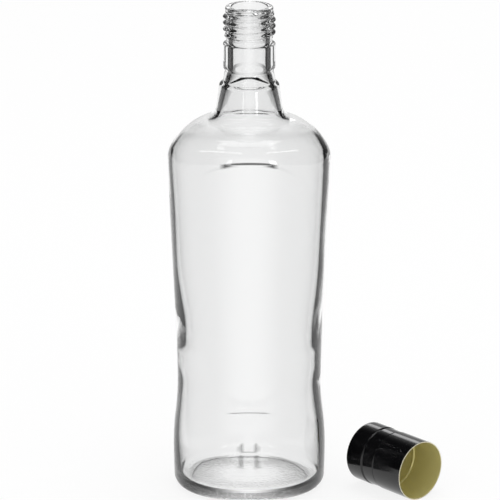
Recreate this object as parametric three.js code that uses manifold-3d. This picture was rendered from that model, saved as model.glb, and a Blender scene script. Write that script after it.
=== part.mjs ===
// Clear glass screw-top bottle with its long metal cap lying beside it.
// Millimetres, +Z up. +X is to the right and +Y away when the bottle is seen from the front.

import * as THREE from "three";
import { mergeVertices } from "three/addons/utils/BufferGeometryUtils.js";
import Module from "manifold-3d";

// Bottle: overall
const bottleHeight = 270.5;
const wall = 2.8;
const bodyDepthRatio = 0.82; // depth over width of the body, which is flatter front and back
const bodySquareness = 2.25; // exponent of the body's section, 2 is an ellipse
const facetsAround = 40;

// Bottle: base
const heelRadius = 6.5;
const bearingRingWidth = 4;
const puntHeight = 6;
const puntFlatness = 0.75; // share of the ring's radius that the push-up's curve aims for
const baseThickness = 6;
const footTuckIn = 0.3; // the heel starts this much inside the belly
const innerHeelRise = 0.5; // lowest curve of the cavity, above the thickness of the base
const innerHeelInset = 1;
const innerFloorFlatness = 0.8;

// Bottle: body, half widths seen from the front
const bellyHalfWidth = 41.9;
const bellyHeight = 21;
const waistHalfWidth = 39.4;
const waistHeight = 64;
const shoulderHalfWidth = 44;
const shoulderDrop = 83.5; // from the rim down to the shoulder's corner
const shoulderCornerRise = 6;
const shoulderCornerInset = 1.5;
const shoulderLean = 1.2; // how much narrower the side still is where it starts to straighten
const domeSpringIn = 4.5; // handle of the dome's curve at the shoulder's corner
const domeSpringUp = 8;
const domeRunOut = 13; // handle of the dome's curve at the neck's foot
const domeRunDown = 3.2;
const roundingStartDrop = 4; // the section turns round from here below the shoulder
const roundingEndDrop = 2; // to here below the neck's foot

// Bottle: neck below the finish
const neckFootDrop = 59.6;
const neckFootRadius = 18.2;
const neckFootFillet = 1.6;
const neckFootSag = 0.3;
const neckDraft = 0.1;
const stepDrop = 42.9; // from the rim down to the widest part of the step under the cap's edge
const stepRadius = 16.2;
const stepSlope = 2.1;
const stepBulge = 1.2;
const stepDraft = 0.2;
const neckFlareRun = 5; // handles of the curve from the bore to the neck's foot, inside
const neckFlareOut = 0.4;
const neckFootFlareRun = 4;
const neckFootFlareIn = 2.2;
const innerNeckThickening = 1.2;
const innerNeckRise = 2;

// Bottle: finish, heights measured down from the rim
const rimRadius = 12.9;
const rimRounding = 1.1;
const mouthRadius = 9.4;
const boreRadius = 8.7;
const boreDepth = 34;
const mouthTaperDepth = 8;
const threadRootRadius = 12.7;
const threadCrestRadius = 14.1;
const threadPitch = 3.75;
const threadTurns = 3.05;
const threadWidth = 2.3;
const threadStartDrop = 3.9;
const threadRunOut = 0.14; // share of a turn over which each end of the thread fades
const threadCrestWidth = 0.92;
const threadEndShare = 0.12; // share of its height that the thread keeps at its very ends
const threadSunk = 0.8; // how far the ridge reaches into the neck that it is joined to
const reliefRadius = 12.3;
const reliefDrop = 17.9;
const reliefRise = 1.2;
const collarRadius = 14;
const collarTopDrop = 19.9;
const collarBottomDrop = 32.9;
const collarRounding = 0.8;
const collarShelfRise = 0.1;
const collarFootRise = 0.6;
const undercutRadius = 13;
const undercutDrop = 34.7;

// Bottle: recessed label panel at the back and locating notch in the heel
const panelHalfWidth = 29;
const panelBottom = 27.5;
const panelSideTop = 169;
const panelArchRise = 4;
const panelDepth = 0.5;
const panelSkinDrop = 10.5; // how far the sunk skin is carried on below the panel
const notchWidth = 13;
const notchHeight = 6.5;
const notchDepth = 1.3;
const notchCentreHeight = 7.6;
const cutterReach = 10; // how far a cutting shape stands out past the glass

// Cap
const capRadius = 16.5;
const capLength = 42;
const capWall = 0.5;
const capEdgeRadius = 1.6;
const tearLineAt = 20.8; // from the cap's mouth
const tearLineDepth = 0.35;
const tearLineWidth = 1.1;
const rolledGrooveAt = 29.4;
const rolledGrooveDepth = 0.45;
const rolledGrooveWidth = 1.3;
const capFacets = 40;
const linerThickness = 1.8;
const linerClearance = 0.3;

// Where the cap lies
const capMouthFromShoulder = 49.5; // from the bottle's side to the middle of the cap's mouth
const capMouthForward = 27.1;
const capHeading = THREE.MathUtils.degToRad(48);

const glass = new THREE.MeshStandardMaterial({
  color: 0xeef3f2,
  roughness: 0.02,
  metalness: 0,
  transparent: true,
  opacity: 0.35,
});
const blackLacquer = new THREE.MeshStandardMaterial({ color: 0x0b0b0c, roughness: 0.15, metalness: 0.3 });
const foam = new THREE.MeshStandardMaterial({ color: 0xe6e2d2, roughness: 0.8, metalness: 0 });

const wasm = await Module();
wasm.setup();

// A closed geometry as a solid that can be joined and cut
function solidFrom(geometry) {
  const bare = geometry.index ? geometry.toNonIndexed() : geometry.clone();
  bare.deleteAttribute("normal");
  bare.deleteAttribute("uv");
  const merged = mergeVertices(bare, 1e-4);
  const mesh = new wasm.Mesh({
    numProp: 3,
    vertProperties: merged.attributes.position.array,
    triVerts: new Uint32Array(merged.index.array),
  });
  return new wasm.Manifold(mesh);
}

function geometryFrom(solid) {
  const mesh = solid.getMesh();
  const geometry = new THREE.BufferGeometry();
  geometry.setAttribute("position", new THREE.BufferAttribute(mesh.vertProperties, 3));
  geometry.setIndex(new THREE.BufferAttribute(mesh.triVerts, 1));
  const faceted = geometry.toNonIndexed();
  faceted.computeVertexNormals();
  return faceted;
}

function named(name, geometry, material) {
  const mesh = new THREE.Mesh(geometry, material);
  mesh.name = name;
  return mesh;
}

// Heights worked out from the drops under the rim
const shoulderHeight = bottleHeight - shoulderDrop;
const neckFootHeight = bottleHeight - neckFootDrop;
const stepHeight = bottleHeight - stepDrop;
const footHalfWidth = bellyHalfWidth - footTuckIn;
const bearingOuter = footHalfWidth - heelRadius;
const bearingInner = bearingOuter - bearingRingWidth;

// Section of the body: from the body's soft rectangle to a circle at the neck's foot
function sectionAt(halfWidth, height) {
  const from = shoulderHeight - roundingStartDrop;
  const to = neckFootHeight - roundingEndDrop;
  const towardsNeck = THREE.MathUtils.smoothstep(height, from, to);
  return {
    halfWidth,
    height,
    halfDepth: halfWidth * THREE.MathUtils.lerp(bodyDepthRatio, 1, towardsNeck),
    exponent: THREE.MathUtils.lerp(bodySquareness, 2, towardsNeck),
  };
}

// Points of a path with a chosen number of steps on each of its curves
function pathPoints(path, steps) {
  const points = [path.curves[0].getPoint(0)];
  path.curves.forEach((curve, i) => {
    points.push(...curve.getPoints(steps[i]).slice(1));
  });
  return points;
}

// Closed skin through a row of sections whose first and last lie on the axis
function loft(points) {
  const rings = points.map((point) => sectionAt(point.x, point.y));
  const positions = [];
  const at = (ring, k) => {
    const angle = ((k % facetsAround) / facetsAround) * 2 * Math.PI;
    const c = Math.cos(angle);
    const s = Math.sin(angle);
    const power = 2 / ring.exponent;
    return [
      ring.halfWidth * Math.sign(c) * Math.abs(c) ** power,
      ring.halfDepth * Math.sign(s) * Math.abs(s) ** power,
      ring.height,
    ];
  };
  for (let i = 0; i + 1 < rings.length; i++) {
    for (let k = 0; k < facetsAround; k++) {
      const a = at(rings[i], k);
      const b = at(rings[i], k + 1);
      const c = at(rings[i + 1], k + 1);
      const d = at(rings[i + 1], k);
      if (rings[i].halfWidth > 0) positions.push(...a, ...b, ...c);
      if (rings[i + 1].halfWidth > 0) positions.push(...a, ...c, ...d);
    }
  }
  const geometry = new THREE.BufferGeometry();
  geometry.setAttribute("position", new THREE.Float32BufferAttribute(positions, 3));
  return geometry;
}

// Outside of the body up to the neck's foot, moved inwards by an offset for the cavity and the panel
function bodySide(path, steps, inset) {
  const cornerHeight = shoulderHeight + shoulderCornerRise;
  const cornerHalfWidth = shoulderHalfWidth - shoulderCornerInset;
  const blend = (waistHeight - bellyHeight) / 2;
  path.lineTo(bellyHalfWidth - inset, bellyHeight);
  path.bezierCurveTo(
    bellyHalfWidth - inset, bellyHeight + blend,
    waistHalfWidth - inset, waistHeight - blend,
    waistHalfWidth - inset, waistHeight,
  );
  path.bezierCurveTo(
    waistHalfWidth - inset, waistHeight + blend,
    shoulderHalfWidth - inset - shoulderLean, shoulderHeight - 2 * blend,
    shoulderHalfWidth - inset, shoulderHeight,
  );
  path.quadraticCurveTo(
    shoulderHalfWidth - inset, shoulderHeight + shoulderCornerRise / 2,
    cornerHalfWidth - inset, cornerHeight,
  );
  steps.push(1, 5, 5, 3);
}

// The dome from the shoulder's corner to the neck's foot
function dome(path, steps, inset, endRadius) {
  const cornerHeight = shoulderHeight + shoulderCornerRise;
  const cornerHalfWidth = shoulderHalfWidth - shoulderCornerInset;
  path.bezierCurveTo(
    cornerHalfWidth - inset - domeSpringIn, cornerHeight + domeSpringUp,
    neckFootRadius + domeRunOut, neckFootHeight - domeRunDown - inset,
    endRadius, neckFootHeight - inset,
  );
  steps.push(7);
}

function bottleProfile() {
  const path = new THREE.Path();
  const steps = [];
  path.moveTo(0, puntHeight);
  path.quadraticCurveTo(bearingInner * puntFlatness, puntHeight, bearingInner, 0);
  steps.push(4);
  path.lineTo(bearingOuter, 0);
  steps.push(1);
  path.absarc(bearingOuter, heelRadius, heelRadius, -Math.PI / 2, 0, false);
  steps.push(5);
  bodySide(path, steps, 0);
  dome(path, steps, 0, neckFootRadius + neckFootFillet);
  path.quadraticCurveTo(
    neckFootRadius, neckFootHeight + neckFootSag,
    neckFootRadius - neckDraft, neckFootHeight + neckFootFillet,
  );
  steps.push(2);

  path.lineTo(stepRadius, stepHeight);
  path.quadraticCurveTo(
    stepRadius - stepDraft, stepHeight + stepBulge,
    collarRadius + stepDraft, stepHeight + stepSlope,
  );
  path.lineTo(undercutRadius, bottleHeight - undercutDrop);
  path.quadraticCurveTo(
    undercutRadius + neckDraft, bottleHeight - collarBottomDrop - collarFootRise,
    collarRadius, bottleHeight - collarBottomDrop,
  );
  path.lineTo(collarRadius, bottleHeight - collarTopDrop - collarRounding);
  path.quadraticCurveTo(
    collarRadius, bottleHeight - collarTopDrop,
    collarRadius - collarRounding, bottleHeight - collarTopDrop,
  );
  path.quadraticCurveTo(
    reliefRadius, bottleHeight - collarTopDrop + collarShelfRise,
    reliefRadius, bottleHeight - reliefDrop,
  );
  steps.push(2, 3, 1, 3, 1, 2, 2);

  path.lineTo(threadRootRadius, bottleHeight - reliefDrop + reliefRise);
  path.lineTo(rimRadius, bottleHeight - threadStartDrop);
  path.lineTo(rimRadius, bottleHeight - rimRounding);
  path.absarc(rimRadius - rimRounding, bottleHeight - rimRounding, rimRounding, 0, Math.PI / 2, false);
  path.lineTo(mouthRadius + rimRounding, bottleHeight);
  path.absarc(mouthRadius + rimRounding, bottleHeight - rimRounding, rimRounding, Math.PI / 2, Math.PI, false);
  path.lineTo(boreRadius, bottleHeight - mouthTaperDepth);
  path.lineTo(boreRadius, bottleHeight - boreDepth);
  steps.push(1, 1, 1, 3, 1, 3, 1, 1);

  const cavityFoot = puntHeight + baseThickness;
  const innerNeckFoot = neckFootRadius - wall - innerNeckThickening;
  path.bezierCurveTo(
    boreRadius + neckFlareOut, bottleHeight - boreDepth - neckFlareRun,
    innerNeckFoot - neckFootFlareIn, neckFootHeight + neckFootFlareRun,
    innerNeckFoot, neckFootHeight - wall + innerNeckRise,
  );
  steps.push(4);
  return { path, steps, cavityFoot, innerNeckFoot };
}

// The cavity's wall, listed from the base up so that it can be turned round
function cavityPoints(cavityFoot, innerNeckFoot) {
  const path = new THREE.Path();
  const steps = [];
  path.moveTo(0, cavityFoot);
  path.quadraticCurveTo(
    bearingInner * innerFloorFlatness, cavityFoot,
    bearingOuter - innerHeelInset, baseThickness + innerHeelRise,
  );
  path.quadraticCurveTo(
    footHalfWidth - wall, baseThickness + 2 * innerHeelRise,
    footHalfWidth - wall, baseThickness + heelRadius,
  );
  steps.push(4, 4);
  bodySide(path, steps, wall);
  dome(path, steps, wall, innerNeckFoot + innerNeckRise);
  return pathPoints(path, steps);
}

function bottleBlank() {
  const { path, steps, cavityFoot, innerNeckFoot } = bottleProfile();
  const outside = pathPoints(path, steps);
  const inside = cavityPoints(cavityFoot, innerNeckFoot).reverse();
  return solidFrom(loft([...outside, ...inside]));
}

// Helical ridge with flat crest and sloping flanks, fading out at both ends
function threadRidge() {
  const stepsPerTurn = 36;
  const count = Math.round(threadTurns * stepsPerTurn);
  const rings = [];
  for (let i = 0; i <= count; i++) {
    const turn = (i / count) * threadTurns;
    const angle = -Math.PI / 2 + turn * 2 * Math.PI;
    const fade = Math.min(1, turn / threadRunOut, (threadTurns - turn) / threadRunOut);
    const rise = THREE.MathUtils.lerp(threadEndShare, 1, fade);
    const crest = threadRootRadius + (threadCrestRadius - threadRootRadius) * rise;
    const middle = bottleHeight - threadStartDrop - (threadTurns - turn) * threadPitch;
    const outline = [
      [threadRootRadius - threadSunk, -threadWidth / 2],
      [threadRootRadius, -threadWidth / 2],
      [crest, -threadCrestWidth / 2],
      [crest, threadCrestWidth / 2],
      [threadRootRadius, threadWidth / 2],
      [threadRootRadius - threadSunk, threadWidth / 2],
    ];
    rings.push(outline.map(([r, z]) => [r * Math.cos(angle), r * Math.sin(angle), middle + z]));
  }
  const positions = [];
  const sides = rings[0].length;
  for (let i = 0; i < count; i++) {
    for (let k = 0; k < sides; k++) {
      const next = (k + 1) % sides;
      positions.push(...rings[i][k], ...rings[i + 1][next], ...rings[i][next]);
      positions.push(...rings[i][k], ...rings[i + 1][k], ...rings[i + 1][next]);
    }
  }
  for (let k = 1; k + 1 < sides; k++) {
    positions.push(...rings[0][0], ...rings[0][k], ...rings[0][k + 1]);
    positions.push(...rings[count][0], ...rings[count][k + 1], ...rings[count][k]);
  }
  const geometry = new THREE.BufferGeometry();
  geometry.setAttribute("position", new THREE.Float32BufferAttribute(positions, 3));
  return solidFrom(geometry);
}

// Upright plate of an outline in X and Z that reaches from one Y to another
function plateAlongY(shape, nearY, farY) {
  const geometry = new THREE.ExtrudeGeometry(shape, {
    depth: farY - nearY,
    bevelEnabled: false,
    curveSegments: 6,
  });
  geometry.rotateX(Math.PI / 2);
  geometry.translate(0, farY, 0);
  return solidFrom(geometry);
}

// Everything inside the back panel's outline that lies outside the panel's own sunk skin
function panelRecess() {
  const outline = new THREE.Shape();
  outline.moveTo(-panelHalfWidth, panelBottom);
  outline.lineTo(panelHalfWidth, panelBottom);
  outline.lineTo(panelHalfWidth, panelSideTop);
  outline.quadraticCurveTo(0, panelSideTop + 2 * panelArchRise, -panelHalfWidth, panelSideTop);
  outline.closePath();
  const path = new THREE.Path();
  const steps = [];
  path.moveTo(0, panelBottom - panelSkinDrop);
  path.lineTo(bellyHalfWidth - panelDepth, panelBottom - panelSkinDrop);
  steps.push(1);
  bodySide(path, steps, panelDepth);
  path.lineTo(0, shoulderHeight + shoulderCornerRise);
  steps.push(1);
  const sunkSkin = solidFrom(loft(pathPoints(path, steps)));
  const plate = plateAlongY(outline, 0, shoulderHalfWidth + cutterReach);
  return plate.subtract(sunkSkin);
}

// Rounded notch in the back of the heel that locates the bottle for labelling
function locatingNotch() {
  const half = notchWidth / 2;
  const rise = notchHeight / 2;
  const outline = new THREE.Shape();
  outline.absarc(half - rise, notchCentreHeight, rise, -Math.PI / 2, Math.PI / 2, false);
  outline.absarc(-half + rise, notchCentreHeight, rise, Math.PI / 2, 1.5 * Math.PI, false);
  outline.closePath();
  const backOfFoot = footHalfWidth * bodyDepthRatio;
  return plateAlongY(outline, backOfFoot - notchDepth, backOfFoot + cutterReach);
}

function makeBottle() {
  const solid = bottleBlank().add(threadRidge()).subtract(panelRecess()).subtract(locatingNotch());
  return named("bottle", geometryFrom(solid), glass);
}

// Radius of the cap's outside at a distance from its mouth, with its two grooves
function capOutside(t) {
  const dip = (at, depth, width) => {
    const off = Math.abs(t - at) / (width / 2);
    return off < 1 ? depth * (1 + Math.cos(Math.PI * off)) / 2 : 0;
  };
  return (
    capRadius -
    dip(tearLineAt, tearLineDepth, tearLineWidth) -
    dip(rolledGrooveAt, rolledGrooveDepth, rolledGrooveWidth)
  );
}

// Drawn metal cap: side wall, two grooves, rounded edge and flat end, all of one thickness
function makeCapShell() {
  const stations = [0];
  [
    [tearLineAt, tearLineWidth],
    [rolledGrooveAt, rolledGrooveWidth],
  ].forEach(([at, width]) => {
    [-1, 0, 1].forEach((share) => stations.push(at + (share * width) / 2));
  });
  const profile = stations.map((t) => new THREE.Vector2(capOutside(t), t));
  const edge = new THREE.Path();
  edge.absarc(capRadius - capEdgeRadius, capLength - capEdgeRadius, capEdgeRadius, 0, Math.PI / 2, false);
  profile.push(...edge.getPoints(4));
  profile.push(new THREE.Vector2(0, capLength));
  profile.push(new THREE.Vector2(0, capLength - capWall));
  const innerEdge = new THREE.Path();
  innerEdge.absarc(
    capRadius - capEdgeRadius, capLength - capEdgeRadius,
    capEdgeRadius - capWall, Math.PI / 2, 0, true,
  );
  profile.push(...innerEdge.getPoints(4));
  const inside = stations.map((t) => new THREE.Vector2(capOutside(t) - capWall, t));
  profile.push(...inside.reverse());
  profile.push(profile[0].clone());
  const geometry = new THREE.LatheGeometry(profile, capFacets);
  geometry.rotateX(Math.PI / 2);
  return named("cap_shell", geometryFrom(solidFrom(geometry)), blackLacquer);
}

// Soft disc that seals on the rim, seated in the cap's closed end
function makeCapLiner() {
  const radius = capRadius - capWall - capEdgeRadius / 2 - linerClearance;
  const geometry = new THREE.CylinderGeometry(radius, radius, linerThickness, capFacets);
  geometry.rotateX(Math.PI / 2);
  geometry.translate(0, 0, capLength - capWall - linerClearance - linerThickness / 2);
  return named("cap_liner", geometryFrom(solidFrom(geometry)), foam);
}

// The cap and its liner lie on their side, mouth towards the front right
const capSet = new THREE.Group();
capSet.add(makeCapShell(), makeCapLiner());
capSet.rotation.set(Math.PI / 2, 0, 0);
const lyingCap = new THREE.Group();
lyingCap.add(capSet);
lyingCap.rotation.z = 1.5 * Math.PI - capHeading;
lyingCap.position.set(shoulderHalfWidth + capMouthFromShoulder, -capMouthForward, capRadius);

// The whole set, with its origin under the middle of what it covers on the ground
const set = new THREE.Group();
set.add(makeBottle(), lyingCap);
const covers = new THREE.Box3().setFromObject(set, true);
set.position.set(-(covers.min.x + covers.max.x) / 2, -(covers.min.y + covers.max.y) / 2, -covers.min.z);

const part = new THREE.Group();
part.add(set);
export default part;
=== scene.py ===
import math

import bmesh
import bpy
from mathutils import Matrix, Vector, geometry, noise


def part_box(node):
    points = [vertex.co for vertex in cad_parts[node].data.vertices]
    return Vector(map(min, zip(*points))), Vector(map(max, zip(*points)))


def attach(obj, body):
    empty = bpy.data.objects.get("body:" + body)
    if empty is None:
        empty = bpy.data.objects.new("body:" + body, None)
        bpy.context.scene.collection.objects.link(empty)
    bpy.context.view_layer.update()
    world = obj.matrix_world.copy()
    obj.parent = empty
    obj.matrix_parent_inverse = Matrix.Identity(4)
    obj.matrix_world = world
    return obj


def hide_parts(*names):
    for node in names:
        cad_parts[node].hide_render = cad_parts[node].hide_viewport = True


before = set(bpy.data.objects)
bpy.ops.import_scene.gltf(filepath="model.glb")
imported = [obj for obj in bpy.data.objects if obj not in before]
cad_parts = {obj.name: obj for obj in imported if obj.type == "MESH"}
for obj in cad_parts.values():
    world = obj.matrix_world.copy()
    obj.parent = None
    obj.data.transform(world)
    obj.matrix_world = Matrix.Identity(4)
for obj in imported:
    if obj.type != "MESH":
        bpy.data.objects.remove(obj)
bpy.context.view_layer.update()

mm = 0.001
print("frame loaded:", sorted(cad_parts))


# shader maths: a wire is a socket that takes part in Python expressions

class Wire:
    def __init__(self, finish, socket):
        self.finish = finish
        self.socket = socket

    def maths(self, operation, *values):
        return self.finish.add("ShaderNodeMath", {"operation": operation}, dict(enumerate(values)))

    def __add__(self, other):
        return self.maths("ADD", self, other)

    def __sub__(self, other):
        return self.maths("SUBTRACT", self, other)

    def __rsub__(self, other):
        return self.maths("SUBTRACT", other, self)

    def __mul__(self, other):
        return self.maths("MULTIPLY", self, other)

    def __truediv__(self, other):
        return self.maths("DIVIDE", self, other)

    def __pow__(self, other):
        return self.maths("POWER", self, other)

    def __abs__(self):
        return self.maths("ABSOLUTE", self)

    __radd__ = __add__
    __rmul__ = __mul__

    def atLeast(self, other):
        return self.maths("MAXIMUM", self, other)

    def atMost(self, other):
        return self.maths("MINIMUM", self, other)

    def above(self, edge):
        return self.maths("GREATER_THAN", self, edge)

    def ramp(self, low, high):  # 0 below low, 1 above high, smooth between
        return self.finish.add(
            "ShaderNodeMapRange",
            {"interpolation_type": "SMOOTHSTEP"},
            {"Value": self, "From Min": low, "From Max": high},
        )


class Finish:
    def __init__(self, owner):
        owner.use_nodes = True
        self.tree = owner.node_tree
        self.tree.nodes.clear()

    def add(self, kind, settings=None, sockets=None, output=0):
        node = self.tree.nodes.new(kind)
        for key, value in (settings or {}).items():
            setattr(node, key, value)
        for key, value in (sockets or {}).items():
            if isinstance(value, Wire):
                self.tree.links.new(value.socket, node.inputs[key])
            else:
                node.inputs[key].default_value = value
        return Wire(self, node.outputs[output])

    def place(self):  # the point on the object
        return self.add("ShaderNodeTexCoord", None, None, "Object")

    def split(self, vector):
        wire = self.add("ShaderNodeSeparateXYZ", None, {"Vector": vector})
        outputs = wire.socket.node.outputs
        return [Wire(self, outputs[axis]) for axis in "XYZ"]

    def blend(self, share, first, second):
        settings = {"data_type": "RGBA"}
        return self.add("ShaderNodeMix", settings, {0: share, 6: first, 7: second}, 2)

    def grain(self, place, scale, detail=2.0, roughness=0.5):
        sockets = {"Vector": place, "Scale": scale, "Detail": detail, "Roughness": roughness}
        return self.add("ShaderNodeTexNoise", None, sockets)

    def bump(self, height, distance, strength=1.0):
        sockets = {"Height": height, "Distance": distance, "Strength": strength}
        return self.add("ShaderNodeBump", None, sockets)

    def surface(self, shader, kind="ShaderNodeOutputMaterial"):
        output = self.tree.nodes.new(kind)
        self.tree.links.new(shader.socket, output.inputs["Surface"])


def newFinish(name):
    material = bpy.data.materials.new(name)
    return material, Finish(material)


# mesh helpers

def curve(points, start, firstHandle, secondHandle, end, steps):  # no start goes on from the last point
    first = Vector(start or points[-1])
    samples = geometry.interpolate_bezier(
        first, Vector(firstHandle), Vector(secondHandle), Vector(end), steps + 1
    )
    points.extend(samples[1:] if points else samples)


def line(points, end, steps=1):
    first = Vector(points[-1])
    for i in range(1, steps + 1):
        points.append(first.lerp(Vector(end), i / steps))


def arc(points, centre, radius, fromDegrees, toDegrees, steps):
    for i in range(steps + 1):
        angle = math.radians(fromDegrees + (toDegrees - fromDegrees) * i / steps)
        point = Vector((centre[0] + radius * math.cos(angle), centre[1] + radius * math.sin(angle)))
        if not points or (point - points[-1]).length > 1e-4:
            points.append(point)


# spins a profile of radius and height in millimetres round the Z axis
def revolve(profile, steps, closed=False):
    bm = bmesh.new()
    verts = [bm.verts.new((x * mm, 0, z * mm)) for x, z in profile]
    edges = [bm.edges.new(pair) for pair in zip(verts, verts[1:])]
    if closed:
        edges.append(bm.edges.new((verts[-1], verts[0])))
    bmesh.ops.spin(
        bm, geom=verts + edges, cent=(0, 0, 0), axis=(0, 0, 1), dvec=(0, 0, 0),
        angle=2 * math.pi, steps=steps, use_merge=True,
    )
    bmesh.ops.remove_doubles(bm, verts=bm.verts, dist=1e-6)
    bmesh.ops.recalc_face_normals(bm, faces=bm.faces)
    return bm


def finishPiece(name, bm, materials, nodeName):
    mesh = bpy.data.meshes.new(name)
    for face in bm.faces:
        face.smooth = True
    bm.to_mesh(mesh)
    bm.free()
    piece = bpy.data.objects.new(name, mesh)
    bpy.context.scene.collection.objects.link(piece)
    for material in materials:
        mesh.materials.append(material)
    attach(piece, "root")
    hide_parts(nodeName)
    return piece


def smoothStep(value, low, high):
    t = min(1, max(0, (value - low) / (high - low)))
    return t * t * (3 - 2 * t)


def mixed(a, b, t):
    return a + (b - a) * t


# where the bottle and the cap are

bottleLow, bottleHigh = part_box("bottle")
capLow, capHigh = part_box("cap_shell")
bottleAxis = Vector(((bottleLow.x + bottleHigh.x) / 2, (bottleLow.y + bottleHigh.y) / 2, 0))


# camera: a long lens looking down at the bottle from the front

camera = {
    "focalPixels": 3300,
    "framePixels": 500,
    "sensorWidth": 36,
    "distance": 1.794,
    "pitch": math.radians(17.65),
    "aimHeight": 0.1345,
    "aimRight": 0.0004,
}


def makeCamera():
    data = bpy.data.cameras.new("camera")
    data.sensor_width = camera["sensorWidth"]
    data.lens = camera["sensorWidth"] * camera["focalPixels"] / camera["framePixels"]
    data.clip_end = 20
    eye = bpy.data.objects.new("camera", data)
    bpy.context.scene.collection.objects.link(eye)
    pitch = camera["pitch"]
    aim = bottleAxis + Vector((camera["aimRight"], 0, camera["aimHeight"]))
    eye.location = aim + camera["distance"] * Vector((0, -math.cos(pitch), math.sin(pitch)))
    eye.rotation_euler = (math.pi / 2 - pitch, 0, 0)
    bpy.context.scene.camera = eye


makeCamera()
print("camera made")


# the glass bottle, in millimetres

glass = {
    "height": bottleHigh.z / mm,
    "around": 160,
    "depthRatio": 0.82,        # depth over width of the body
    "squareness": 2.25,        # exponent of the body's section, 2 is an ellipse
    "roundFrom": 4,            # below the shoulder, where the section starts to turn round
    "roundTo": 2,              # below the neck's foot, where it is round
    "wall": 2.8,
    "wallShift": 0.5,          # the cavity sits a little to the left, so the right wall is thicker
    "heelRadius": 6.5,
    "footTuckIn": 0.3,         # the heel starts this much inside the belly
    "bearingWidth": 4,
    "bearingLip": (0.8, 0.3),  # width and rise of the soft inner edge of the ring that it stands on
    "punt": 3,                 # rise of the pushed-up base
    "puntCurve": (0.5, 0.83, 0.67),  # shares of the ring's radius, then of the rise, where it bends
    "base": 4.2,
    "innerFloorCurve": (0.53, 0.87, 2.5),  # shares of the ring's radius, height over the base
    "innerFloorEnd": (1, 0.5),
    "innerHeelCurve": (1.8, 0.9, 3.6),
    "innerHeel": 8,            # the cavity's side starts this far above the base
    "belly": (41.9, 21),       # half width, height
    "waist": (39.4, 64),
    "shoulder": (44, 83.5),    # half width, drop below the rim
    "sideLean": 1.2,           # how much narrower the side still is where it starts to straighten
    "corner": (1.5, 6),        # inset and rise of the soft corner under the dome
    "domeSpring": (4.5, 8),    # handle of the dome's curve at that corner
    "domeRun": (14, 4.4),      # handle of the dome's curve at the neck's foot
    "innerDomeRun": (13, 4.6),
    "neckFoot": (18.2, 59.6),  # radius, drop below the rim
    "neckFootSag": 1.3,
    "neckFillet": 4,
    "neckDraft": 0.35,
    "innerFlare": (6, 1.9),    # where the cavity starts to turn up into the neck
    "innerNeckInset": 0.1,
    "innerNeckRise": 5,
    "step": (16.2, 42.9),      # radius, drop below the rim
    "stepSlope": 2.1,
    "undercut": (13, 34.7),
    "collar": (14, 19.9, 32.9),
    "collarRounding": 0.8,
    "collarTaperDrop": 3.4,
    "draft": 0.05,             # slight taper that lets a wall leave its mould
    "relief": (12.3, 17.9),
    "reliefRise": 1.2,
    "threadRoot": 12.7,
    "threadCrest": 14.1,
    "threadZone": (19, 1),     # drops below the rim between which the neck carries its thread
    "threadSkin": 1.5,         # only the neck's outside this close to the root is raised
    "threadPitch": 3.4,
    "threadTurns": 3.6,
    "threadUpperFlank": 1.9,
    "threadLowerFlank": 1.2,
    "threadEnd": 3.7,          # below the rim
    "threadEndAngle": math.radians(18),
    "threadFade": 0.14,        # share of a turn over which each end of the thread fades
    "rim": 12.9,
    "rimRounding": 1.1,
    "mouth": 9.4,
    "mouthTaper": 8,
    "bore": (8.7, 31),         # radius, depth below the rim
    "boreLead": 6,
    "innerBend": (11.5, 43),   # the cavity's radius where the step is outside
    "innerBendHandle": (1.2, 4),
    "panelHalfWidth": 29,
    "panelBottom": 27.5,
    "panelTop": 169,
    "panelArch": 4.4,
    "panelDepth": 0.45,
    "panelTopEdge": 1.0,       # how softly the panel's edges run out
    "panelSideEdge": 9,
    "panelFootEdge": (-2, 4),
    "notchHalfWidth": 6.5,
    "notchHalfHeight": 3.2,
    "notchHeight": 6.2,
    "notchDepth": 0.8,
    "notchBlur": (0.7, 1.1),
    # painted shade at the notch's ends, on the cavity's wall
    "notchEndAt": 4.3,         # painted shade darkens the notch's two ends
    "notchEndSize": (1.6, 2.7),
    "notchEndRise": 1.2,
    "notchEndBlur": (0.6, 1.1),
    "notchEndShade": 0.8,
    # painted shade along the panel's top and bottom edges
    "topLineReach": (14, 17.5),  # half width over which the painted shade of the panel's top line fades
    "topLineThick": (1.35, 1.05),
    "topLineDrop": 0.4,
    "topLineFaint": 0.12,
    "bottomLineReach": (9, 14),
    "bottomLineThick": (0.1, 0.5),
    "bottomLineRise": 0.4,
    "bottomLineShade": 0.95,
    "ripple": 0.25,            # unevenness of the cavity's wall
    "rippleSize": 22,
    "unevenFrom": (8, 30),     # heights between which the unevenness sets in
    "unevenTo": 20,            # it runs out over this height below the neck's foot
    "swell": 1.7,              # extra thickness of the side walls above the waist
    "swellAt": 91,
    "swellSpread": 22,
    "swellCut": (13, 7),       # below its middle the swell breaks off between these distances
    "rightSwellShare": 0.55,
    "hollow": 0.9,             # the side walls are thinner just under the swell
    "hollowDrop": 21,
    "hollowSpread": 7,
    "tint": (0.952, 0.954, 0.954, 1),
    # near-black of the painted shade lines
    "paintedShadeColour": (0.005, 0.005, 0.005, 1),
    "footBand": (0.001, 0.0035),  # heights in metres between which the stippled foot turns clear
    "footRoughness": 0.16,
}
shoulderHeight = glass["height"] - glass["shoulder"][1]
neckFootHeight = glass["height"] - glass["neckFoot"][1]
footHalfWidth = glass["belly"][0] - glass["footTuckIn"]
bearingOuter = footHalfWidth - glass["heelRadius"]
bearingInner = bearingOuter - glass["bearingWidth"]


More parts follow.
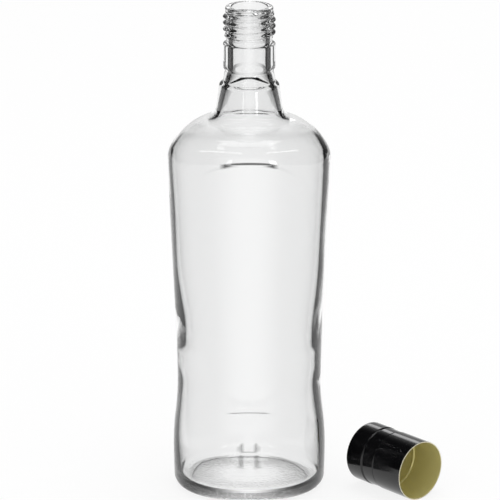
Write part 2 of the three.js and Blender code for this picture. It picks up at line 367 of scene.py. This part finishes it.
# the side from the heel to the soft corner under the dome, for the outside and for the cavity
def bodyLine(points, inset):
    bellyWidth, bellyHeight = glass["belly"]
    waistWidth, waistHeight = glass["waist"]
    shoulderWidth = glass["shoulder"][0]
    cornerInset, cornerRise = glass["corner"]
    half = (waistHeight - bellyHeight) / 2
    line(points, (bellyWidth - inset, bellyHeight), 3 if inset == 0 else 1)
    curve(points, None, (bellyWidth - inset, bellyHeight + half), (waistWidth - inset, waistHeight - half),
          (waistWidth - inset, waistHeight), 36)
    curve(points, None, (waistWidth - inset, waistHeight + half),
          (shoulderWidth - inset - glass["sideLean"], shoulderHeight - 2 * half),
          (shoulderWidth - inset, shoulderHeight), 60)
    cornerHeight = shoulderHeight + cornerRise
    cornerWidth = shoulderWidth - cornerInset - inset
    corner = Vector((cornerWidth, cornerHeight))
    middle = Vector((shoulderWidth - inset, shoulderHeight + cornerRise / 2))
    curve(points, None, points[-1].lerp(middle, 2 / 3), corner.lerp(middle, 2 / 3), corner, 8)
    return cornerWidth, cornerHeight


def footLine(points):
    punt = glass["punt"]
    flatShare, turnShare, fallShare = glass["puntCurve"]
    lipWidth, lipRise = glass["bearingLip"]
    curve(points, (0, punt), (bearingInner * flatShare, punt), (bearingInner * turnShare, punt * fallShare),
          (bearingInner, lipRise), 14)
    curve(points, None, (bearingInner + lipWidth * 3 / 8, 0), (bearingInner + lipWidth / 2, 0),
          (bearingInner + lipWidth, 0), 3)
    line(points, (bearingOuter, 0), 4)
    arc(points, (bearingOuter, glass["heelRadius"]), glass["heelRadius"], -90, 0, 14)


# the dome, then the neck up to the groove under its collar
def neckFootLine(points, cornerWidth, cornerHeight):
    neckRadius = glass["neckFoot"][0]
    fillet = glass["neckFillet"]
    springIn, springUp = glass["domeSpring"]
    runOut, runDown = glass["domeRun"]
    stepRadius = glass["step"][0]
    stepHeight = glass["height"] - glass["step"][1]
    undercutRadius = glass["undercut"][0]
    undercutHeight = glass["height"] - glass["undercut"][1]
    draft = glass["draft"]
    curve(points, None, (cornerWidth - springIn, cornerHeight + springUp),
          (neckRadius + runOut, neckFootHeight - runDown),
          (neckRadius + fillet, neckFootHeight - glass["neckFootSag"]), 26)
    curve(points, None, (neckRadius + fillet * 0.45, neckFootHeight - 0.5),
          (neckRadius + fillet * 0.1, neckFootHeight + fillet * 0.3),
          (neckRadius - glass["neckDraft"], neckFootHeight + fillet), 12)
    line(points, (stepRadius + draft * 0.4, stepHeight - 0.4), 8)
    curve(points, None, (stepRadius, stepHeight + 0.9), (stepRadius - 1.2, stepHeight + 1.5),
          (glass["collar"][0] + 0.2, stepHeight + glass["stepSlope"]), 7)
    line(points, (undercutRadius + draft, undercutHeight - 0.3), 6)


def finishLine(points):  # the collar, the relief under the thread, the thread's wall and the rim
    height = glass["height"]
    collarRadius, collarDrop, collarFootDrop = glass["collar"]
    collarTop = height - collarDrop
    collarFoot = height - collarFootDrop
    rounding = glass["collarRounding"]
    undercutRadius, undercutDrop = glass["undercut"]
    reliefRadius, reliefDrop = glass["relief"]
    rimRounding = glass["rimRounding"]
    draft = glass["draft"]
    curve(points, None, (undercutRadius - draft, height - undercutDrop + 0.4),
          (collarRadius - 0.1, collarFoot - 0.9), (collarRadius, collarFoot), 7)
    line(points, (collarRadius - draft, collarTop - glass["collarTaperDrop"]), 6)
    line(points, (collarRadius, collarTop - rounding), 3)
    curve(points, None, (collarRadius, collarTop - 0.1), (collarRadius - 0.2, collarTop),
          (collarRadius - rounding, collarTop), 5)
    curve(points, None, (reliefRadius + 0.1, collarTop), (reliefRadius, collarTop + 0.6),
          (reliefRadius, height - reliefDrop), 6)
    line(points, (glass["threadRoot"], height - reliefDrop + glass["reliefRise"]), 5)
    line(points, (glass["rim"] - 0.1, height - rimRounding - 0.7), 64)
    line(points, (glass["rim"], height - rimRounding), 1)
    arc(points, (glass["rim"] - rimRounding, height - rimRounding), rimRounding, 0, 90, 7)
    line(points, (glass["mouth"] + rimRounding, height), 2)
    arc(points, (glass["mouth"] + rimRounding, height - rimRounding), rimRounding, 90, 180, 7)


def outsideProfile():
    points = []
    footLine(points)
    cornerWidth, cornerHeight = bodyLine(points, 0)
    neckFootLine(points, cornerWidth, cornerHeight)
    finishLine(points)
    return points


def cavityProfile():  # drawn upwards, returned from the mouth down to the middle of the base
    height, wall, base = glass["height"], glass["wall"], glass["base"]
    innerSide = footHalfWidth - wall
    floorTop = glass["punt"] + base
    flatShare, turnShare, turnRise = glass["innerFloorCurve"]
    endInset, endRise = glass["innerFloorEnd"]
    heelInset, heelRise, heelUp = glass["innerHeelCurve"]
    rising = []
    curve(rising, (0, floorTop), (bearingInner * flatShare, floorTop),
          (bearingInner * turnShare, base + turnRise), (bearingOuter - endInset, base + endRise), 16)
    curve(rising, None, (innerSide - heelInset, base + heelRise), (innerSide, base + heelUp),
          (innerSide, base + glass["innerHeel"]), 14)
    cornerWidth, cornerHeight = bodyLine(rising, wall)
    springIn, springUp = glass["domeSpring"]
    runOut, runDown = glass["innerDomeRun"]
    flareOut, flareDown = glass["innerFlare"]
    footRadius = glass["neckFoot"][0] - wall - glass["innerNeckInset"]
    footHeight = neckFootHeight - wall
    curve(rising, None, (cornerWidth - springIn, cornerHeight + springUp),
          (glass["neckFoot"][0] + runOut, footHeight - runDown),
          (footRadius + flareOut, footHeight - flareDown), 22)
    curve(rising, None, (footRadius + 3.2, footHeight - 0.7), (footRadius + 1.2, footHeight + 1.2),
          (footRadius, footHeight + glass["innerNeckRise"]), 10)
    bendRadius = glass["innerBend"][0]
    bendHeight = height - glass["innerBend"][1]
    bendIn, bendUp = glass["innerBendHandle"]
    boreRadius, boreDepth = glass["bore"]
    curve(rising, None, (footRadius - 1.3, neckFootHeight + 7), (bendRadius + bendIn, bendHeight - bendUp),
          (bendRadius, bendHeight), 10)
    curve(rising, None, (bendRadius - bendIn, bendHeight + bendUp),
          (boreRadius, height - boreDepth - glass["boreLead"]), (boreRadius, height - boreDepth), 14)
    line(rising, (boreRadius, height - glass["mouthTaper"]), 10)
    line(rising, (glass["mouth"], height - glass["rimRounding"] - 0.4), 4)
    return rising[::-1]


def threadRise(angle, height):  # share of the thread's full height at a place on the neck
    turns = glass["threadTurns"]
    startAngle = glass["threadEndAngle"] - turns * 2 * math.pi
    firstTurn = ((angle - startAngle) / (2 * math.pi)) % 1
    best = 0
    for k in range(int(turns) + 1):
        turn = firstTurn + k
        if turn > turns:
            continue
        offset = height - (glass["height"] - glass["threadEnd"] - (turns - turn) * glass["threadPitch"])
        flank = glass["threadUpperFlank"] if offset > 0 else glass["threadLowerFlank"]
        fade = min(1, turn / glass["threadFade"], (turns - turn) / glass["threadFade"])
        best = max(best, fade * (1 - smoothStep(abs(offset) / flank, 0, 1)))
    return best


def panelTopAt(x):
    return glass["panelTop"] + glass["panelArch"] * (1 - (x / glass["panelHalfWidth"]) ** 2)


def panelShare(x, y, z):  # 1 inside the back panel, 0 outside, soft at its edge
    if y < 0:
        return 0
    inside = smoothStep(glass["panelHalfWidth"] - abs(x), 0, glass["panelSideEdge"])
    underTop = smoothStep(panelTopAt(x) - z, 0, glass["panelTopEdge"])
    return inside * underTop * smoothStep(z - glass["panelBottom"], *glass["panelFootEdge"])


def notchShare(x, y, z):  # the same for the notch at the back of the heel
    if y < 0:
        return 0
    straight = glass["notchHalfWidth"] - glass["notchHalfHeight"]
    sideways = max(0, abs(x) - straight)
    away = math.hypot(sideways, z - glass["notchHeight"]) / glass["notchHalfHeight"]
    return 1 - smoothStep(away, *glass["notchBlur"])


def panelLineShade(x, y, z):  # painted shade: dark lines along the panel's top and bottom edge, as they look through the glass
    if y < 0:
        return 0
    reachStart, reachEnd = glass["topLineReach"]
    reach = 1 - smoothStep(abs(x), reachStart, reachEnd)
    faint = glass["topLineFaint"] * (1 - smoothStep(abs(x), reachEnd, glass["panelHalfWidth"]))
    thick = mixed(*glass["topLineThick"], smoothStep(abs(x), 2, reachEnd))
    away = abs(z - panelTopAt(x) + glass["topLineDrop"])
    topLine = max(reach, faint) * (1 - smoothStep(away, thick * 0.5, thick))
    reach = glass["bottomLineShade"] * (1 - smoothStep(abs(x), *glass["bottomLineReach"]))
    away = abs(z - glass["panelBottom"] - glass["bottomLineRise"])
    return max(topLine, reach * (1 - smoothStep(away, *glass["bottomLineThick"])))


def notchShade(x, y, z):  # painted shade: the notch's ends drawn dark on the cavity's wall in front of them
    if y < 0:
        return 0
    sideways = (abs(x) - glass["notchEndAt"]) / glass["notchEndSize"][0]
    upwards = (z - glass["notchHeight"] - glass["notchEndRise"]) / glass["notchEndSize"][1]
    return glass["notchEndShade"] * (1 - smoothStep(math.hypot(sideways, upwards), *glass["notchEndBlur"]))


# more points on a profile between two heights, so that edges moved there stay crisp
def densify(profile, low, high, gap):
    result = [profile[0]]
    for point in profile[1:]:
        last = result[-1]
        inBand = low < (last.y + point.y) / 2 < high
        count = max(1, math.ceil((point - last).length / gap)) if inBand else 1
        for i in range(1, count + 1):
            result.append(last.lerp(point, i / count))
    return result


def wallSwell(z):  # the side walls thicken down to the waist, and are thinner just under it
    middle = glass["swellAt"]
    cutLow, cutHigh = glass["swellCut"]
    swell = math.exp(-((z - middle) / glass["swellSpread"]) ** 2)
    swell *= smoothStep(z, middle - cutLow, middle - cutHigh)
    hollow = math.exp(-((z - middle + glass["hollowDrop"]) / glass["hollowSpread"]) ** 2)
    return glass["swell"] * swell - glass["hollow"] * hollow


def cavityPlace(x, y, z, radius):  # the uneven wall of a blown bottle
    fade = smoothStep(z, *glass["unevenFrom"]) * smoothStep(neckFootHeight - z, 0, glass["unevenTo"])
    sample = noise.noise(Vector((x, y, z * 0.5)) / glass["rippleSize"])
    scale = 1 + glass["ripple"] * sample * fade / max(radius, 1)
    swell = wallSwell(z) * (x / footHalfWidth) ** 2
    shift = swell if x < 0 else -swell * glass["rightSwellShare"]
    return x * scale - glass["wallShift"] * fade + shift, y * scale


def shapeBottle(bm):  # turns the round blank into the bottle's own form
    height = glass["height"]
    threadLow, threadHigh = (height - drop for drop in glass["threadZone"])
    inner = bm.verts.layers.int["inner"]
    shade = bm.verts.layers.float.new("edgeShade")
    for vert in bm.verts:
        x, y, z = (value / mm for value in vert.co)
        radius = math.hypot(x, y)
        angle = math.atan2(y, x)
        isInner = vert[inner] == 1
        if not isInner and radius > glass["threadRoot"] - glass["threadSkin"] and threadLow < z < threadHigh:
            radius += (glass["threadCrest"] - glass["threadRoot"]) * threadRise(angle, z)
        towardsNeck = smoothStep(z, shoulderHeight - glass["roundFrom"], neckFootHeight - glass["roundTo"])
        ratio = mixed(glass["depthRatio"], 1, towardsNeck)
        power = 2 / mixed(glass["squareness"], 2, towardsNeck)
        cosine, sine = math.cos(angle), math.sin(angle)
        x = radius * math.copysign(abs(cosine) ** power, cosine)
        y = radius * ratio * math.copysign(abs(sine) ** power, sine)
        # painted shade per vertex: dark lines at the panel's edges outside, dark spots at the notch's ends
        # inside
        vert[shade] = notchShade(x, y, z) if isInner else panelLineShade(x, y, z)
        if not isInner:
            y -= glass["panelDepth"] * panelShare(x, y, z)
            y -= glass["notchDepth"] * notchShare(x, y, z)
        elif z < neckFootHeight:
            x, y = cavityPlace(x, y, z, radius)
        vert.co = Vector((x, y, z)) * mm + bottleAxis


def glassFinish():
    material, finish = newFinish("clearGlass")
    place = finish.place()
    # painted shade: the edgeShade attribute blends the glass's colour towards near-black at the panel's
    # edges and the notch's ends
    paintedShadeShare = finish.add("ShaderNodeAttribute", {"attribute_name": "edgeShade"}, None, "Fac")
    colour = finish.blend(paintedShadeShare, glass["tint"], glass["paintedShadeColour"])
    onFoot = 1 - finish.split(place)[2].ramp(*glass["footBand"])
    waves = finish.grain(place, 55, 1)
    stipple = finish.grain(place, 900, 2)
    normal = finish.bump(waves, 0.00004)
    footNormal = finish.add("ShaderNodeBump", None, {
        "Height": stipple * onFoot, "Distance": 0.0004, "Strength": 1.0, "Normal": normal,
    })
    shader = finish.add("ShaderNodeBsdfPrincipled", None, {
        "Base Color": colour, "Roughness": onFoot * glass["footRoughness"], "IOR": 1.5,
        "Transmission Weight": 1.0, "Normal": footNormal,
    })
    finish.surface(shader)
    return material


def makeBottle():
    fineBands = (  # from, to and gap of the finer rows at the panel's ends and at the notch
        (glass["panelTop"] - 3, glass["panelTop"] + glass["panelArch"] + 2, 0.5),
        (glass["panelBottom"] - 1, glass["panelBottom"] + 2, 0.3),
        (glass["notchHeight"] - 5, glass["notchHeight"] + 5, 0.6),
    )
    outside = outsideProfile()
    for low, high, gap in fineBands:
        outside = densify(outside, low, high, gap)
    bm = bmesh.new()
    inner = bm.verts.layers.int.new("inner")
    verts = []
    for i, (radius, z) in enumerate(outside + cavityProfile()):
        vert = bm.verts.new((max(radius, 0) * mm, 0, z * mm))
        vert[inner] = int(i >= len(outside))
        verts.append(vert)
    edges = [bm.edges.new(pair) for pair in zip(verts, verts[1:])]
    bmesh.ops.spin(
        bm, geom=verts + edges, cent=(0, 0, 0), axis=(0, 0, 1), dvec=(0, 0, 0),
        angle=2 * math.pi, steps=glass["around"], use_merge=True,
    )
    bmesh.ops.remove_doubles(bm, verts=bm.verts, dist=1e-6)
    shapeBottle(bm)
    bmesh.ops.recalc_face_normals(bm, faces=bm.faces)
    return finishPiece("glassBottle", bm, [glassFinish()], "bottle")


bottlePiece = makeBottle()
print("bottle made:", len(bottlePiece.data.polygons), "faces")


# the metal cap, lying on its side with its mouth to the front right

cap = {
    "radius": (capHigh.z - capLow.z) / 2 / mm,
    "length": 42,
    "wall": 0.5,
    "around": 192,
    "edgeRadius": 1.6,
    "heading": math.radians(48),  # how far its axis is turned away from the X axis
    "tearAt": 20.8,            # from the cap's mouth
    "tearDepth": 0.5,
    "tearWidth": 1.4,
    "grooveAt": 29.4,
    "grooveDepth": 0.7,
    "grooveWidth": 1.6,
    "bandDepth": 0.4,          # the band between the two grooves is a little narrower
    "bandEdge": 0.3,
    "bandEnd": (-0.2, 0.1),
    "linerThickness": 1.8,
    "linerGap": 0.3,
    "linerRounding": 0.3,
    "dent": (8.6, 13),         # inner and outer radius of the dent that the bottle's rim leaves
    "dentDepth": 0.25,
}


def capMatrix():  # carries a cap that stands on its mouth to where it lies
    heading = cap["heading"]
    radius = cap["radius"] * mm
    along = Vector((-math.cos(heading), math.sin(heading), 0))
    up = Vector((0, 0, 1))
    across = up.cross(along)
    mouth = Vector((capHigh.x - radius * math.sin(heading), capLow.y + radius * math.cos(heading), radius))
    turn = Matrix((across, up, along)).transposed().to_4x4()
    turn.translation = mouth
    return turn


def dip(t, at, depth, width):  # depth of a rounded groove at t along the cap
    away = abs(t - at) / (width / 2)
    return depth * (1 + math.cos(math.pi * away)) / 2 if away < 1 else 0


def capRadiusAt(t):
    inBand = smoothStep(t, cap["tearAt"] - cap["bandEdge"], cap["tearAt"])
    inBand *= smoothStep(cap["grooveAt"] - t, *cap["bandEnd"])
    along = smoothStep(t, cap["tearAt"], cap["grooveAt"])
    return (
        cap["radius"]
        - mixed(cap["bandDepth"], cap["bandDepth"] / 2, along) * inBand
        - dip(t, cap["tearAt"], cap["tearDepth"], cap["tearWidth"])
        - dip(t, cap["grooveAt"], cap["grooveDepth"], cap["grooveWidth"])
    )


def capStations():  # rows along the cap, close together at its grooves
    stations = [0, 0.3, 1]
    for at, width in ((cap["tearAt"], cap["tearWidth"]), (cap["grooveAt"], cap["grooveWidth"])):
        stations += [at + width / 2 * share / 6 for share in range(-8, 9)]
    return stations + [cap["length"] - cap["edgeRadius"] - 1]


def makeCapShell():
    radius, length, edge, wall = cap["radius"], cap["length"], cap["edgeRadius"], cap["wall"]
    outer = [Vector((capRadiusAt(t), t)) for t in capStations()]
    arc(outer, (radius - edge, length - edge), edge, 0, 90, 8)
    outer.append(Vector((0, length)))
    inner = [Vector((0, length - wall))]
    arc(inner, (radius - edge, length - edge), edge - wall, 90, 0, 8)
    inner += [Vector((capRadiusAt(t) - wall, t)) for t in reversed(capStations())]
    bm = revolve(outer + inner, cap["around"], closed=True)
    for face in bm.faces:
        centre = face.calc_center_median() / mm
        reach = math.hypot(centre.x, centre.y)
        onLip = face.normal.z < -0.9 and centre.z < wall / 2
        isInside = reach < capRadiusAt(centre.z) - wall / 2 and centre.z < length - wall / 2
        if onLip:
            face.material_index = 2
        elif isInside:
            face.material_index = 1
    bmesh.ops.transform(bm, matrix=capMatrix(), verts=bm.verts)
    finishes = [blackLacquer(), goldLacquer(), bareEdge()]
    return finishPiece("capShell", bm, finishes, "cap_shell")


def blackLacquer():
    material, finish = newFinish("blackLacquer")
    place = finish.place()
    dust = finish.grain(place, 60, 4)
    shader = finish.add("ShaderNodeBsdfPrincipled", None, {
        "Base Color": (0.003, 0.003, 0.0035, 1), "Roughness": 0.1 + 0.05 * dust, "Specular IOR Level": 0.5,
    })
    finish.surface(shader)
    return material


def goldLacquer():
    material, finish = newFinish("goldLacquer")
    place = finish.place()
    smear = finish.grain(place, 90, 3)
    colour = finish.blend(smear, (0.66, 0.6, 0.25, 1), (0.76, 0.7, 0.33, 1))
    shader = finish.add("ShaderNodeBsdfPrincipled", None, {
        "Base Color": colour, "Metallic": 0.3, "Roughness": 0.32 + 0.1 * smear,
        "Normal": finish.bump(finish.grain(place, 700, 2), 0.00001),
    })
    finish.surface(shader)
    return material


def bareEdge():
    material, finish = newFinish("bareEdge")
    wear = finish.grain(finish.place(), 300, 2)
    shader = finish.add("ShaderNodeBsdfPrincipled", None, {
        "Base Color": (0.8, 0.76, 0.6, 1), "Metallic": 0.2, "Roughness": 0.4 + 0.15 * wear,
    })
    finish.surface(shader)
    return material


def linerFoam():
    material, finish = newFinish("linerFoam")
    cells = finish.grain(finish.place(), 1500, 3)
    shader = finish.add("ShaderNodeBsdfPrincipled", None, {
        "Base Color": finish.blend(cells, (0.78, 0.76, 0.66, 1), (0.86, 0.84, 0.76, 1)),
        "Roughness": 0.75, "Normal": finish.bump(cells, 0.00008),
    })
    finish.surface(shader)
    return material


def makeCapLiner():
    radius = cap["radius"] - cap["wall"] - cap["edgeRadius"] / 2 - cap["linerGap"]
    top = cap["length"] - cap["wall"] - cap["linerGap"]
    bottom = top - cap["linerThickness"]
    dentFrom, dentTo = cap["dent"]
    dentTop = bottom + cap["dentDepth"]
    rounding = cap["linerRounding"]
    profile = [Vector((0, bottom)), Vector((dentFrom, bottom))]
    curve(profile, None, (dentFrom + 0.6, bottom), (dentFrom + 0.8, dentTop), (dentFrom + 1.6, dentTop), 4)
    curve(profile, None, (dentTo - 1, dentTop), (dentTo - 0.6, bottom), (dentTo, bottom), 5)
    line(profile, (radius - rounding, bottom))
    arc(profile, (radius - rounding, bottom + rounding), rounding, -90, 0, 4)
    arc(profile, (radius - rounding, top - rounding), rounding, 0, 90, 4)
    profile.append(Vector((0, top)))
    bm = revolve(profile, 96)
    bmesh.ops.transform(bm, matrix=capMatrix(), verts=bm.verts)
    return finishPiece("capLiner", bm, [linerFoam()], "cap_liner")


makeCapShell()
makeCapLiner()
print("cap and liner made")


# stage: pale floor, white background, soft lamps

stage = {
    "floorSize": 6.0,
    "floorGap": 0.0001,
    "floorColour": (0.93, 0.93, 0.93, 1),
    "shadowShare": 0.15,       # how much of the floor that the camera sees takes the shadow
    "sideFlag": (0.2, 0.36),   # sine of the angle at which the side flags begin and are full
    "mirrorFlag": (0.0, 0.8),  # the same for mirror reflections, which fade more softly
    "topFlag": (0.5, 1.1),     # slope of the sight line under the top flag
    "topFlagGap": (0.1, 0.3),  # reflections see no top flag straight behind the glass
    "mirrorTopFlag": (0.02, 0.4),
    "flagShade": (0.012, 0.012, 0.012, 1),
    "objectLight": 0.62,       # strength of the white surroundings as a light
    "lampPower": 16,
}


# colour of the surroundings: white, but reflections see black flags at both sides, and the glass one above
def studioShade(finish, x, y, z, mirrorShare):
    sideways = abs(x)
    reach = ((sideways * sideways + y * y) ** 0.5).atLeast(0.001)
    path = finish.add("ShaderNodeLightPath").socket.node.outputs
    through = Wire(finish, path["Is Transmission Ray"])
    mirrored = Wire(finish, path["Is Glossy Ray"]) * mirrorShare
    bounced = Wire(finish, path["Glossy Depth"]).above(0.5) * through
    turn = sideways / reach
    slope = z / reach
    behind = y.above(0)
    sharp = turn.ramp(*stage["sideFlag"]) * behind * bounced
    soft = turn.ramp(*stage["mirrorFlag"]) * (mirrored + bounced * (1 - behind)).atMost(1)
    aside = bounced * turn.ramp(*stage["topFlagGap"]) + (through - bounced)
    above = slope.ramp(*stage["topFlag"]) * (aside + mirrored * behind)
    above = above + slope.ramp(*stage["mirrorTopFlag"]) * mirrored * (1 - behind)
    share = sharp.atLeast(soft).atLeast(above).atMost(1)
    return finish.blend(share, (1, 1, 1, 1), stage["flagShade"])


def makeFloor():
    bm = bmesh.new()
    bmesh.ops.create_grid(bm, x_segments=2, y_segments=2, size=stage["floorSize"] / 2)
    mesh = bpy.data.meshes.new("floor")
    bm.to_mesh(mesh)
    bm.free()
    floor = bpy.data.objects.new("floor", mesh)
    bpy.context.scene.collection.objects.link(floor)
    floor.location = (0, 0, -stage["floorGap"])
    material, finish = newFinish("paleFloor")
    diffuse = finish.add("ShaderNodeBsdfDiffuse", None, {"Color": stage["floorColour"]})
    path = finish.add("ShaderNodeLightPath").socket.node.outputs
    x, y, z = finish.split(finish.place())
    shade = studioShade(finish, x - bottleAxis.x, y - bottleAxis.y, z, 0)
    glow = finish.add("ShaderNodeEmission", None, {"Color": shade, "Strength": 1.0})
    direct = Wire(finish, path["Is Camera Ray"])
    indirect = (Wire(finish, path["Is Glossy Ray"]) + Wire(finish, path["Is Transmission Ray"])).atMost(1)
    share = direct * (1 - stage["shadowShare"]) + indirect
    shader = finish.add("ShaderNodeMixShader", None, {0: share.atMost(1), 1: diffuse, 2: glow})
    finish.surface(shader)
    mesh.materials.append(material)


def makeWorld():
    world = bpy.data.worlds.new("studio")
    bpy.context.scene.world = world
    finish = Finish(world)
    path = finish.add("ShaderNodeLightPath").socket.node.outputs
    place = finish.add("ShaderNodeTexCoord", None, None, "Generated")
    seen = Wire(finish, path["Is Camera Ray"]) + Wire(finish, path["Is Transmission Ray"])
    strength = stage["objectLight"] + (1 - stage["objectLight"]) * seen.atMost(1)
    shade = studioShade(finish, *finish.split(place), 1)
    background = finish.add("ShaderNodeBackground", None, {"Color": shade, "Strength": strength})
    finish.surface(background, "ShaderNodeOutputWorld")


def makeLamp(name, size, location, target, share):
    data = bpy.data.lights.new(name, "AREA")
    data.shape = "RECTANGLE"
    data.size, data.size_y = size
    data.energy = stage["lampPower"] * share
    lamp = bpy.data.objects.new(name, data)
    bpy.context.scene.collection.objects.link(lamp)
    lamp.location = location
    lamp.rotation_mode = "QUATERNION"
    lamp.rotation_quaternion = (Vector(target) - Vector(location)).to_track_quat("-Z", "Y")
    return lamp


lamps = {  # width and height, place, aim, share of the lamp power
    "barLeft": ((2.4, 0.12), (-1.19, -1.07, 1.4), (0, 0, 0.1), 0.17),
    "barRight": ((1.8, 0.12), (1.31, -0.92, 1.4), (0, 0, 0.1), 0.13),
    "stripLeft": ((0.16, 0.4), (-0.62, -1.5, 0.22), (-0.03, 0, 0.2), 0.03),
    "stripRight": ((0.26, 0.4), (0.72, -1.5, 0.22), (-0.03, 0, 0.2), 0.12),
    "softboxBack": ((0.7, 0.35), (0.05, 1.6, 0.85), (0.05, 0, 0.02), 0.12),
    "softboxTop": ((1.2, 1.2), (0, 0.2, 1.8), (0, 0, 0), 0.8),
}

makeFloor()
makeWorld()
for name, (size, location, target, share) in lamps.items():
    lamp = makeLamp(name, size, location, target, share)
    lamp.visible_transmission = name != "softboxBack"  # its image would lie on the bottle's floor
    lamp.visible_glossy = name != "softboxTop"
bpy.context.scene.view_settings.view_transform = "Standard"
cycles = bpy.context.scene.cycles
cycles.max_bounces = 24
cycles.glossy_bounces = 8
cycles.transmission_bounces = 16
cycles.sample_clamp_indirect = 2
print("stage lit")
